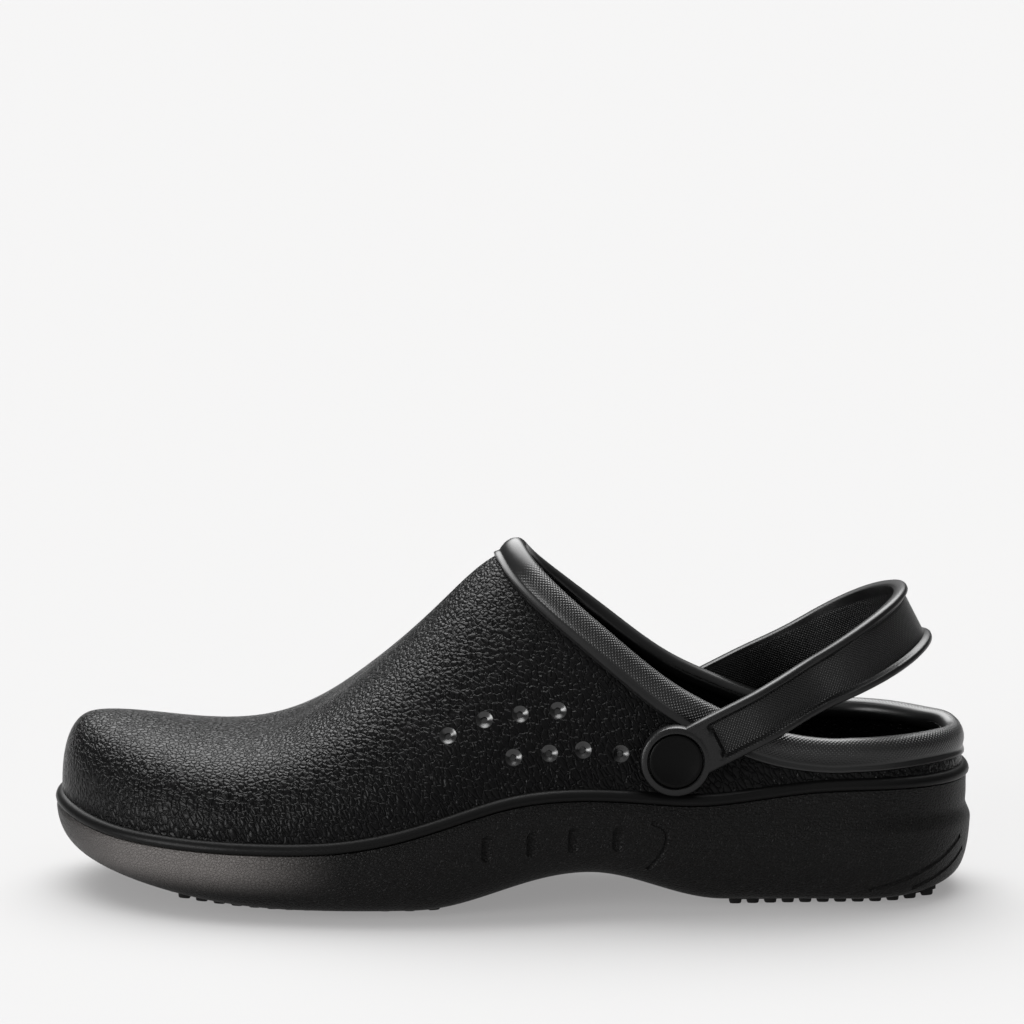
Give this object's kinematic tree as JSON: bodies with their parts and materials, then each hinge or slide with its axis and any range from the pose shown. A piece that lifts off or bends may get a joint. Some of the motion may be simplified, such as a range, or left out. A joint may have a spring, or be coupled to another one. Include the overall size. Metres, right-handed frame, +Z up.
{
  "type": "chef clog",
  "caption": "Closed-toe moulded work clog for the left foot, with a rolled collar, vents, cup sole with rubber treads, footbed and a heel strap on rivets.",
  "frame": {"origin": "on the floor, under the middle of the shoe's bounding box", "axes": "+X from toe to heel along the shoe's length, -Y towards the outer (lateral) side, +Z up"},
  "size_m": [0.2938, 0.1066, 0.1128],
  "materials": {
    "foam": "satin, moulded pebble grain",
    "foam_sole": "matt, fine moulded grain",
    "rubber": "matt",
    "footbed": "matt, fine dots",
    "strap": "satin, rows of fine dots in the web",
    "cap": "satin"
  },
  "bodies": {
    "root": {"upper": "foam", "sole": "foam_sole", "tread_forefoot": "rubber", "tread_heel": "rubber", "insole": "footbed", "heel_strap": "strap", "rivet_cap_lateral": "cap", "rivet_cap_medial": "cap", "rivet_back_lateral": "cap", "rivet_back_medial": "cap"}
  },
  "joints": []
}
